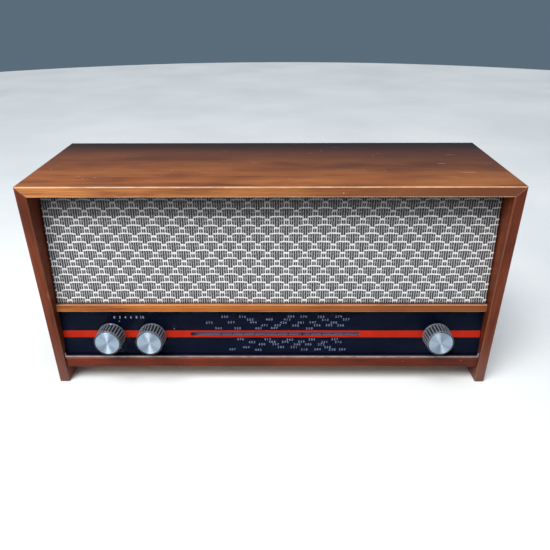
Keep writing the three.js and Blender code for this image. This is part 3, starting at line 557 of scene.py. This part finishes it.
def make_materials():
    """One finish for each of the record's material slots."""
    return {
        # Each veneer's last colour is its pale wear, which on front arrises is also a painted
        # highlight.
        "case_veneer": veneer("case_veneer", "x", srgb(172, 108, 58), srgb(148, 85, 42),
                              srgb(78, 44, 30), srgb(240, 196, 156), tone_and_shade_drift=(0.2, 0.9)),
        "light_rail": veneer("light_rail", "x", srgb(204, 134, 60), srgb(180, 106, 42),
                             srgb(112, 56, 28), srgb(255, 224, 196), tone_and_shade_drift=(0.85, 0), gloss=0.6),
        "plywood": plywood("plywood"),
        "hardboard": speckled("hardboard", srgb(120, 84, 54), srgb(84, 56, 36), 700, 0.7, 0.00015),
        "grille_cloth": woven_cloth("grille_cloth"),
        "dial_glass": clear_glass("dial_glass", srgb(240, 244, 252), 1.0),
        "lamp_glass": clear_glass("lamp_glass", srgb(245, 240, 225), 1.46),
        # the black ink is tinted deep blue, partly as a painted reflection of blue surroundings
        "dial_print": printed("dial_print", srgb(8, 14, 30)),
        "cream_plastic": channel_plastic("cream_plastic"),
        "pointer_black": speckled("pointer_black", srgb(26, 24, 26), srgb(16, 14, 16), 900, 0.4),
        "nylon": speckled("nylon", srgb(222, 216, 200), srgb(196, 188, 168), 240, 0.45, 0.00002),
        "knob_black": fluted_plastic("knob_black"),
        "spun_aluminium": spun_metal("spun_aluminium"),
        "sheet_aluminium": speckled("sheet_aluminium", srgb(206, 208, 212), srgb(172, 174, 180),
                                    300, 0.34, 0.00001, metallic=1.0, stretch=(1, 1, 0.05)),
        "plated_steel": speckled("plated_steel", srgb(176, 178, 182), srgb(140, 142, 148), 260,
                                 0.36, 0.00001, metallic=1.0),
        "brass": speckled("brass", srgb(206, 168, 92), srgb(150, 112, 52), 320, 0.34, 0.00001,
                          metallic=1.0),
        "lamination_iron": speckled("lamination_iron", srgb(92, 86, 80), srgb(52, 48, 46), 500, 0.5,
                                    0.00006, metallic=0.7, stretch=(0.04, 1, 0.04)),
        "winding": winding("winding", "Z"),
        "phenolic_board": speckled("phenolic_board", srgb(150, 104, 56), srgb(122, 80, 40), 200,
                                   0.4),
        "ferrite": speckled("ferrite", srgb(48, 46, 46), srgb(30, 29, 30), 800, 0.55, 0.00005),
        "cone_paper": speckled("cone_paper", srgb(52, 48, 44), srgb(34, 31, 29), 900, 0.9, 0.0001),
        "rubber": speckled("rubber", srgb(36, 35, 34), srgb(24, 23, 23), 500, 0.6, 0.00003),
    }


# ---- Making pieces ----

def add_piece(name, mesh, finish, body, replaces=(), matrix=None):
    """A shown piece of the object that moves with this CAD body."""
    piece = bpy.data.objects.new(name, mesh)
    bpy.context.scene.collection.objects.link(piece)
    if matrix is not None:
        piece.matrix_world = matrix
    mesh.materials.clear()
    mesh.materials.append(finish)
    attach(piece, body)
    if replaces:
        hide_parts(*replaces)
    return piece


def mesh_of(name, points, faces, smooth=True):
    """A mesh of these points and faces, all shaded smooth or all flat."""
    mesh = bpy.data.meshes.new(name)
    mesh.from_pydata([tuple(point) for point in points], [], faces)
    mesh.validate()
    mesh.polygons.foreach_set("use_smooth", [smooth] * len(mesh.polygons))
    return mesh


def finished(mesh, *modifiers):
    """The mesh as these modifiers leave it, each given as (kind, settings)."""
    holder = bpy.data.objects.new("holder", mesh)
    bpy.context.scene.collection.objects.link(holder)
    for kind, settings in modifiers:
        modifier = holder.modifiers.new(kind, kind)
        for name, value in settings.items():
            setattr(modifier, name, value)
    ready = holder.evaluated_get(bpy.context.evaluated_depsgraph_get())
    made = bpy.data.meshes.new_from_object(ready)
    made.name = mesh.name
    bpy.data.objects.remove(holder)
    return made


def rectangle(left, foot, right, head):
    return [(left, foot), (right, foot), (right, head), (left, head)]


def prism(name, outline, front, back):
    """A closed mesh of an outline in x and z, run from front to back along y."""
    count = len(outline)
    points = [(x, y, z) for y in (front, back) for x, z in outline]
    sides = [[i, (i + 1) % count, count + (i + 1) % count, count + i] for i in range(count)]
    ends = [list(range(count))[::-1], [count + i for i in range(count)]]
    mesh = mesh_of(name, points, sides + ends)
    fix_normals(mesh)
    return mesh


def fix_normals(mesh):
    """Turns every face outwards, whichever way round its outline was drawn."""
    form = bmesh.new()
    form.from_mesh(mesh)
    bmesh.ops.recalc_face_normals(form, faces=form.faces)
    form.to_mesh(mesh)
    form.free()


def along_slant(face):
    """Whether a face lies between flat and upright, as a board's mitred end does."""
    return min(abs(face.normal.x), abs(face.normal.z)) > 0.5


def eased(mesh, radius, mitre_radius, front_wear_and_highlight):
    """Rounds every arris, less where two boards meet in a mitre, and marks how pale the rounding is
    painted: the front share at the front, as wear and painted highlight, MITRE_WEAR on a mitre and
    HIDDEN_WEAR elsewhere, as wear."""
    weights = mesh.attributes.new("bevel_weight_edge", "FLOAT", "EDGE")
    slanted = [face for face in mesh.polygons if along_slant(face)]
    slants = [Vector(face.normal) for face in slanted]
    mitre_edges = {tuple(sorted(edge)) for face in slanted for edge in face.edge_keys}
    for edge in mesh.edges:
        on_mitre = tuple(sorted(edge.vertices)) in mitre_edges
        weights.data[edge.index].value = mitre_radius / radius if on_mitre else 1.0
    made = finished(
        mesh,
        ("BEVEL", {"width": radius, "segments": 4, "limit_method": "WEIGHT"}),
        ("WEIGHTED_NORMAL", {"keep_sharp": True, "weight": 90}),
    )

    front = min(vertex.co.y for vertex in mesh.vertices) + 2 * radius
    flat, mitred = set(), set()
    for face in made.polygons:
        nearest_slant = max((face.normal.dot(slant) for slant in slants), default=0)
        if max(map(abs, face.normal)) > SQUARE_ON:
            flat.update(face.vertices)
        elif nearest_slant > ROUND_THE_MITRE and face.area < LARGEST_ROUNDING:
            mitred.update(face.vertices)
        if nearest_slant > SQUARE_ON:
            flat.update(face.vertices)
    shares = []
    for vertex in made.vertices:
        # front arrises get wear and painted highlight
        share = front_wear_and_highlight if vertex.co.y < front else HIDDEN_WEAR
        if vertex.index in mitred:
            share = MITRE_WEAR
        shares.append(0.0 if vertex.index in flat else share)
    made.attributes.new("wear_and_highlight", "FLOAT", "POINT").data.foreach_set("value", shares)
    return made


# ---- Case ----

ARRIS = 1.2 * MM
MITRE_ARRIS = 0.35 * MM
RAIL_ARRIS = 0.6 * ARRIS

# How pale each arris is painted, from 0 to 1, as wear; on the top board's and the cloth rail's
# front arrises also as a painted highlight
TOP_WEAR_AND_HIGHLIGHT = 0.6
SIDE_WEAR = 0.1
SILL_WEAR = 0.1
RAIL_WEAR_AND_HIGHLIGHT = 0.4
MITRE_WEAR = 0.6
HIDDEN_WEAR = 0.12

# How eased() tells a board's faces from the rounding between them, by their normals and area
SQUARE_ON = 0.999
ROUND_THE_MITRE = 0.7
LARGEST_ROUNDING = MM ** 2 * 30


def add_case(materials):
    """The top board, lipped along its front, the side boards and the rails over and under the
    dial."""
    # pale red of wear, which on front arrises also stands as a painted highlight
    red_wear_and_highlight = srgb(214, 160, 120)
    upright = veneer("case_veneer_upright", "z", srgb(122, 60, 34), srgb(97, 43, 24),
                     srgb(62, 26, 17), red_wear_and_highlight, gloss=0.5, haze=0.22)
    red = veneer("case_veneer_red", "x", srgb(128, 54, 25), srgb(108, 39, 17),
                 srgb(62, 22, 15), red_wear_and_highlight, tone_and_shade_drift=(0.5, 0), gloss=0.5)
    lipping = veneer("case_lipping", "x", srgb(212, 146, 84), srgb(194, 124, 66),
                     srgb(110, 60, 38), srgb(255, 224, 196), tone_and_shade_drift=(1.0, 0), gloss=0.6)

    low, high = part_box("top_panel")
    thick = high.z - low.z
    outline = [(low.x, high.z), (low.x + thick, low.z), (high.x - thick, low.z), (high.x, high.z)]
    top = eased(prism("top_board", outline, low.y, high.y), ARRIS, MITRE_ARRIS, TOP_WEAR_AND_HIGHLIGHT)
    add_piece("top_board", top, materials["case_veneer"], "case", ["top_panel"])
    top.materials.append(lipping)
    for face in top.polygons:
        faces_forwards = face.normal.y < -0.9
        face.material_index = int(faces_forwards)

    for side, node in ((-1, "left_side_panel"), (1, "right_side_panel")):
        low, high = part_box(node)
        outer, inner = (low.x, high.x) if side < 0 else (high.x, low.x)
        outline = [(outer, low.z), (inner, low.z), (inner, high.z - thick), (outer, high.z)]
        name = node.replace("panel", "board")
        board = eased(prism(name, outline, low.y, high.y), ARRIS, MITRE_ARRIS, SIDE_WEAR)
        add_piece(name, board, upright, "case", [node])

    low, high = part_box("bottom_rail")
    outline = rectangle(low.x, low.z, high.x, high.z)
    rail = eased(prism("dial_sill", outline, low.y, high.y), ARRIS, ARRIS, SILL_WEAR)
    add_piece("dial_sill", rail, red, "case", ["bottom_rail"])

    low, high = leaning_box("middle_rail")
    outline = rectangle(low.x, low.z, high.x, high.z)
    rail = eased(prism("cloth_rail", outline, low.y, high.y), RAIL_ARRIS, RAIL_ARRIS, RAIL_WEAR_AND_HIGHLIGHT)
    add_piece("cloth_rail", rail, materials["light_rail"], "case", ["middle_rail"],
              LEANING)


# ---- Loudspeaker cloth ----

CLOTH_THICK = 0.5 * MM
EDGE_TURN = 1.6 * MM
CLOTH_COLUMNS = 184
CLOTH_ROWS = 56
SLACK = 0.12 * MM
SLACK_MARGIN = 8 * EDGE_TURN
ROLL_SHARE = 0.35  # how far back the edge goes, as a share of a full quarter round


def add_cloth(materials):
    """The cloth is stretched over the baffle, a little uneven, and rolls back round its edges."""
    low, high = leaning_box("grille_cloth")
    points = []
    for j in range(CLOTH_ROWS + 1):
        for i in range(CLOTH_COLUMNS + 1):
            x = eased_step(low.x, high.x, i / CLOTH_COLUMNS, EDGE_TURN)
            z = eased_step(low.z, high.z, j / CLOTH_ROWS, EDGE_TURN)
            margin = min(x - low.x, high.x - x, z - low.z, high.z - z)
            in_turn = max(EDGE_TURN - margin, 0)
            rolled = EDGE_TURN - math.sqrt(max(EDGE_TURN ** 2 - in_turn ** 2, 0))
            slack = SLACK * (1 + math.sin(x * 61) * math.sin(z * 83 + x * 17))
            share = min(margin / SLACK_MARGIN, 1)
            points.append((x, low.y + slack * share + rolled * ROLL_SHARE, z))
    across = CLOTH_COLUMNS + 1
    faces = [[j * across + i, j * across + i + 1, (j + 1) * across + i + 1, (j + 1) * across + i]
             for j in range(CLOTH_ROWS) for i in range(CLOTH_COLUMNS)]
    mesh = mesh_of("woven_cloth", points, faces)
    mesh = finished(mesh, ("SOLIDIFY", {"thickness": CLOTH_THICK, "offset": -1}))
    cloth = add_piece("woven_cloth", mesh, materials["grille_cloth"], "case", ["grille_cloth"],
                      LEANING)


def eased_step(start, end, share, fine):
    """A grid line at this share of the way. The first and last lines are close together, and
    fill this fine a margin."""
    edge_share = 0.03
    if share < edge_share:
        return start + fine * share / edge_share
    if share > 1 - edge_share:
        return end - fine * (1 - share) / edge_share
    inner = (share - edge_share) / (1 - 2 * edge_share)
    return start + fine + (end - start - 2 * fine) * inner


# ---- Dial ----

FIGURE_HEIGHT = 2.5 * MM
FIGURE_SHARE = 0.69  # how high a figure is for a font size of 1
FIGURE_STEP = 11.3
STRIPE_HALF = 4.2 * MM

# How thick the ink is, and how far the middle of the figures, and the front of the stripe and
# of the window marks, are in front of the mask
INK_THICK = 0.05 * MM
STRIPE_THICK = 0.06 * MM
FIGURES_OUT = 0.14 * MM
MARKS_OUT = 0.16 * MM


def text_mesh(text):
    """Figures as a closed mesh, standing in x and z and centred on the origin."""
    curve = bpy.data.curves.new("figures", "FONT")
    curve.body = text
    curve.size = FIGURE_HEIGHT / FIGURE_SHARE
    curve.extrude = INK_THICK / 2
    curve.resolution_u = 3
    curve.space_character = 1.5
    curve.offset = INK_THICK
    curve.align_x = "CENTER"
    curve.align_y = "CENTER"
    holder = bpy.data.objects.new("figures", curve)
    bpy.context.scene.collection.objects.link(holder)
    ready = holder.evaluated_get(bpy.context.evaluated_depsgraph_get())
    mesh = bpy.data.meshes.new_from_object(ready)
    bpy.data.objects.remove(holder)
    mesh.transform(Matrix(((1, 0, 0, 0), (0, 0, -1, 0), (0, 1, 0, 0), (0, 0, 0, 1))))
    return mesh


def joined(name, parts):
    """One mesh of several, each given as (mesh, offset)."""
    points, faces = [], []
    for mesh, offset in parts:
        first = len(points)
        points.extend(vertex.co + Vector(offset) for vertex in mesh.vertices)
        faces.extend([first + i for i in face.vertices] for face in mesh.polygons)
    return mesh_of(name, points, faces, smooth=False)


def scale_figures(count, left, right, top, row_pitch, first):
    """A run of three-digit figures that count down from the first, and stand in five rows from
    the top down, each in one of the three rows with most room: as (figures, x, height)."""
    ends = [left - random.uniform(0, 20 * MM) for _ in range(5)]
    pitch = (right - left) / (count - 1)
    for i in range(count):
        share = i / (count - 1)
        x = left + (right - left) * share ** 0.8 + random.uniform(-0.25, 0.25) * pitch
        roomiest = sorted(range(len(ends)), key=lambda row: ends[row])
        row = random.choice(roomiest[:3])
        ends[row] = x
        height = top - (row + random.uniform(-0.1, 0.1)) * row_pitch
        yield str(round(first - FIGURE_STEP * i)), x, height


def add_figures():
    """Grey figures over and under the window, and white ones and dots round the left knobs."""
    depth = leaning_box("dial_mask")[0].y - FIGURES_OUT
    white = printed("knob_figures", srgb(214, 218, 230))
    grey = printed("dial_figures", srgb(150, 158, 178))
    upper = scale_figures(count=29, left=-67 * MM, right=80 * MM, top=80.4 * MM,
                          row_pitch=3.5 * MM, first=573)
    lower = scale_figures(count=26, left=-43 * MM, right=78 * MM, top=52.6 * MM,
                          row_pitch=3.2 * MM, first=487)
    scale = [(text_mesh(text), (x, depth, height)) for text, x, height in [*upper, *lower]]
    add_piece("dial_figures", joined("dial_figures", scale), grey, "case", (), LEANING)

    first, pitch, row = -170, 6, 79.7
    dots = ((-165.1, 75.1), (-166.8, 41.9), (-105.9, 66))
    marks = []
    for i in range(6):
        x = first + pitch * i
        marks.append((text_mesh(str(2 * i)), (x * MM, depth, row * MM)))
    for x, height in dots:
        marks.append((disc(0.5 * MM, INK_THICK), (x * MM, depth, height * MM)))
    add_piece("knob_figures", joined("knob_figures", marks), white, "case", (), LEANING)


def add_stripe():
    """The red stripe, broken round each shaft and split above and below the window."""
    red = printed("dial_stripe", srgb(214, 44, 14))
    low, high = leaning_box("dial_mask")
    window_low, window_high = window_box()
    edge = 0.3 * MM
    hole = 4.8 * MM
    volume, tone, tuning = (Vector(JOINTS[name]["pos_m"]).x
                            for name in ("volume_turn", "tone_turn", "tuning_turn"))
    ends = [low.x + edge, volume - hole, volume + hole, tone - hole, tone + hole,
            window_low.x, window_high.x, tuning - hole, tuning + hole, high.x - edge]
    bars = [(left, -STRIPE_HALF, right, STRIPE_HALF) for left, right in zip(ends[::2], ends[1::2])]
    below = window_low.z - SHAFT_HEIGHT
    above = window_high.z - SHAFT_HEIGHT
    bars.append((window_low.x, -STRIPE_HALF, window_high.x, below))
    bars.append((window_low.x, above, window_high.x, STRIPE_HALF))
    place = (0, low.y - MARKS_OUT, SHAFT_HEIGHT)
    parts = [(prism("bar", rectangle(*bar), 0, STRIPE_THICK), place) for bar in bars]
    add_piece("dial_stripe", joined("dial_stripe", parts), red, "case", (), LEANING)


def add_window_marks():
    """Short dark marks along the window, each third one taller, and the tint of the trough behind
    it."""
    dark = printed("window_marks", srgb(38, 34, 52))
    depth = leaning_box("dial_mask")[0].y - MARKS_OUT
    window_low, window_high = window_box()
    pitch = 12.2 * MM
    half_width = 0.45 * MM
    tall, short = 3.0 * MM, 1.8 * MM
    first = window_low.x + 33.4 * MM
    marks = []
    for i in range(12):
        height = tall if i % 3 == 0 else short
        foot = (window_low.z + window_high.z - height) / 2
        mark = prism("mark", rectangle(-half_width, 0, half_width, height), 0, INK_THICK)
        marks.append((mark, (first + i * pitch, depth, foot)))
    add_piece("window_marks", joined("window_marks", marks), dark, "case", (),
              LEANING)
    tinted = speckled("tinted_trough", srgb(250, 236, 255), srgb(232, 216, 250), 60, 0.5)
    NODES["dial_reflector"].material_slots[0].material = tinted


def disc(radius, thickness):
    return prism("disc", circle(radius, 16), -thickness / 2, thickness / 2)


def window_box():
    """The corners of the clear window, which is a margin in from each end of the reflector."""
    low, high = leaning_box("dial_reflector")
    margin = 7 * MM
    half_height = 2.1 * MM
    return (Vector((low.x + margin, 0, SHAFT_HEIGHT - half_height)),
            Vector((high.x - margin, 0, SHAFT_HEIGHT + half_height)))


# ---- Knobs ----

FLUTES = 26
STEPS_PER_FLUTE = 10
CAP_STEPS = 96
FLUTE_DEPTH = 1.0 * MM
BORE_R = 3.4 * MM
SLIMMER = 0.4 * MM  # than the knob's CAD node, in radius
CAP_GAP = 0.4 * MM
IN_SHADE = -1


def turned(name, profile, steps, wave=None):
    """A closed solid turned about Z from points of (radius, z, depth), which start and end on the
    axis. wave gives what part of its depth a point at this angle is moved in. A point IN_SHADE
    stays put and is as dark as the bottom of a groove."""
    points, faces, sunk = [], [], []
    rings = []
    deepest = max(depth for _, _, depth in profile) or 1
    for radius, z, depth in profile:
        if radius == 0:
            rings.append([len(points)] * steps)
            points.append((0, 0, z))
            sunk.append(float(depth == IN_SHADE))
            continue
        rings.append(list(range(len(points), len(points) + steps)))
        for i in range(steps):
            angle = 2 * math.pi * i / steps
            drop = max(depth, 0) * wave(angle) if wave else 0.0
            out = radius - drop
            points.append((out * math.cos(angle), out * math.sin(angle), z))
            sunk.append(1.0 if depth == IN_SHADE else drop / deepest)
    for near, far in zip(rings, rings[1:]):
        for i in range(steps):
            k = (i + 1) % steps
            corners = [near[i], near[k], far[k], far[i]]
            faces.append([c for j, c in enumerate(corners) if c != corners[j - 1]])
    mesh = mesh_of(name, points, faces)
    fix_normals(mesh)
    mesh.attributes.new("sunk", "FLOAT", "POINT").data.foreach_set("value", sunk)
    return mesh


def knob_matrix(joint):
    """The knob's own axes: Z straight out of the dial, X to the right, from the front plane."""
    centre = Vector(JOINTS[joint]["pos_m"])
    out_way = -BACK_WAY
    right = Vector((1, 0, 0))
    turn = Matrix((right, out_way.cross(right), out_way)).transposed().to_4x4()
    return Matrix.Translation(centre) @ turn


def flute_wave(angle):
    """Flat-topped ridges between round-bottomed grooves, from 0 on a ridge to 1 in a groove."""
    swing = (1 - math.cos(FLUTES * angle)) / 2
    share = min(max((swing - 0.12) / 0.6, 0), 1)
    return share * share * (3 - 2 * share)


def knob_profile(base_r, face_r, wall, back, face, floor):
    """The knob's half section: its bore, skirt, fluted side that leans in to the face, and the
    shaded recess that its cap lies in."""
    ceiling = floor - 2.4 * MM
    return [
        (0, ceiling, 0), (BORE_R, ceiling, 0), (BORE_R, back, 0),
        (base_r - 1.0 * MM, back, 0), (base_r - 0.2 * MM, back + 0.25 * MM, 0),
        (base_r, back + 0.9 * MM, 0), (base_r, back + 1.6 * MM, 0),
        (base_r - 0.02 * MM, back + 2.0 * MM, 0.6 * FLUTE_DEPTH),
        (base_r - 0.05 * MM, back + 2.8 * MM, FLUTE_DEPTH),
        (base_r - 0.4 * MM, back + 9 * MM, FLUTE_DEPTH),
        (face_r, face - 3.4 * MM, FLUTE_DEPTH), (face_r, face - 2.5 * MM, 0.75 * FLUTE_DEPTH),
        (face_r, face - 1.9 * MM, 0.2 * FLUTE_DEPTH), (face_r, face - 1.6 * MM, 0),
        (face_r - 0.05 * MM, face - 0.5 * MM, 0), (face_r - 0.25 * MM, face - 0.15 * MM, 0),
        (face_r - 0.5 * MM, face, IN_SHADE), (wall + 0.1 * MM, face, IN_SHADE),
        (wall, face - 0.1 * MM, IN_SHADE), (wall, floor, IN_SHADE), (0, floor, IN_SHADE),
    ]


def cap_profile(radius, back, front):
    """The cap's half section: a rim round a very slightly hollow face."""
    return [
        (0, back, 0), (radius, back, 0), (radius, front - 0.2 * MM, 0),
        (radius - 0.2 * MM, front, 0), (radius - 0.9 * MM, front - 0.05 * MM, 0),
        (radius - 1.1 * MM, front - 0.2 * MM, 0), (0, front - 0.55 * MM, 0),
    ]


def add_knobs(materials):
    """Three knobs alike, each a fluted body and a spun cap with a dark gap round it. They are a
    little slimmer than their CAD nodes."""
    low, high = leaning_box("volume_knob")
    base_r = (high.x - low.x) / 2 - SLIMMER
    face_r = base_r - 0.9 * MM
    back, face = -high.y, -low.y
    cap_low, cap_high = leaning_box("volume_knob_cap")
    cap_back, cap_front = -cap_high.y, -cap_low.y
    wall = (cap_high.x - cap_low.x) / 2 - 0.1 * MM
    body = knob_profile(base_r, face_r, wall, back, face, floor=cap_back - 0.3 * MM)
    cap = cap_profile(wall - CAP_GAP, cap_back, cap_front)
    for prefix in ("volume", "tone", "tuning"):
        where = knob_matrix(f"{prefix}_turn")
        knob = turned(f"{prefix}_fluted", body, FLUTES * STEPS_PER_FLUTE, flute_wave)
        knob = finished(knob, ("WEIGHTED_NORMAL", {}))
        add_piece(f"{prefix}_fluted", knob, materials["knob_black"], prefix, [f"{prefix}_knob"],
                  where)
        plate = finished(turned(f"{prefix}_plate", cap, CAP_STEPS), ("WEIGHTED_NORMAL", {}))
        add_piece(f"{prefix}_plate", plate, materials["spun_aluminium"], prefix,
                  [f"{prefix}_knob_cap"], where)
    add_index_dot(base_r, back)


def add_index_dot(base_r, back):
    """A white paint dot on the volume knob's skirt, four degrees to the right of the top."""
    paint = speckled("index_paint", srgb(236, 236, 232), srgb(206, 206, 200), 600, 0.5)
    profile = [(0, -0.4 * MM, 0), (0.9 * MM, -0.4 * MM, 0), (0.9 * MM, 0, 0),
               (0.6 * MM, 0.15 * MM, 0), (0, 0.2 * MM, 0)]
    dot = turned("volume_index", profile, 16)
    on_skirt = Matrix.Translation((0, base_r - 0.1 * MM, back + 1.9 * MM))
    facing_up = Matrix.Rotation(-math.pi / 2, 4, "X")
    up = Matrix.Rotation(math.radians(-4), 4, "Z") @ on_skirt @ facing_up
    add_piece("volume_index", dot, paint, "volume", (), knob_matrix("volume_turn") @ up)


# ---- CAD nodes that stay as they are ----

def soften(node, width):
    """Eases a shown CAD node's hard edges, which leaves its mesh as it was packed."""
    piece = NODES[node]
    for kind, settings in (
        ("WELD", {"merge_threshold": 0.00002}),
        ("DECIMATE", {"decimate_type": "DISSOLVE", "angle_limit": math.radians(1)}),
        ("BEVEL", {"width": width, "segments": 2, "limit_method": "ANGLE",
                   "angle_limit": math.radians(40), "harden_normals": False}),
    ):
        modifier = piece.modifiers.new(kind, kind)
        for name, value in settings.items():
            setattr(modifier, name, value)


def paint_nodes(materials):
    """Gives every CAD node the finish of the material slot that it was packed with, and softens
    four whose edges show."""
    for node in NODES.values():
        for place in node.material_slots:
            place.material = materials[place.material.name.split(".")[0]]
    for node, width in (("dial_channel", 0.25 * MM), ("back_panel", 0.4 * MM),
                        ("cable_grommet", 0.3 * MM), ("aerial_socket_strip", 0.25 * MM)):
        soften(node, width)


# ---- The scene ----

random.seed(7)
add_camera()
add_studio()
finishes = make_materials()
paint_nodes(finishes)
add_case(finishes)
add_cloth(finishes)
add_figures()
add_stripe()
add_window_marks()
add_knobs(finishes)
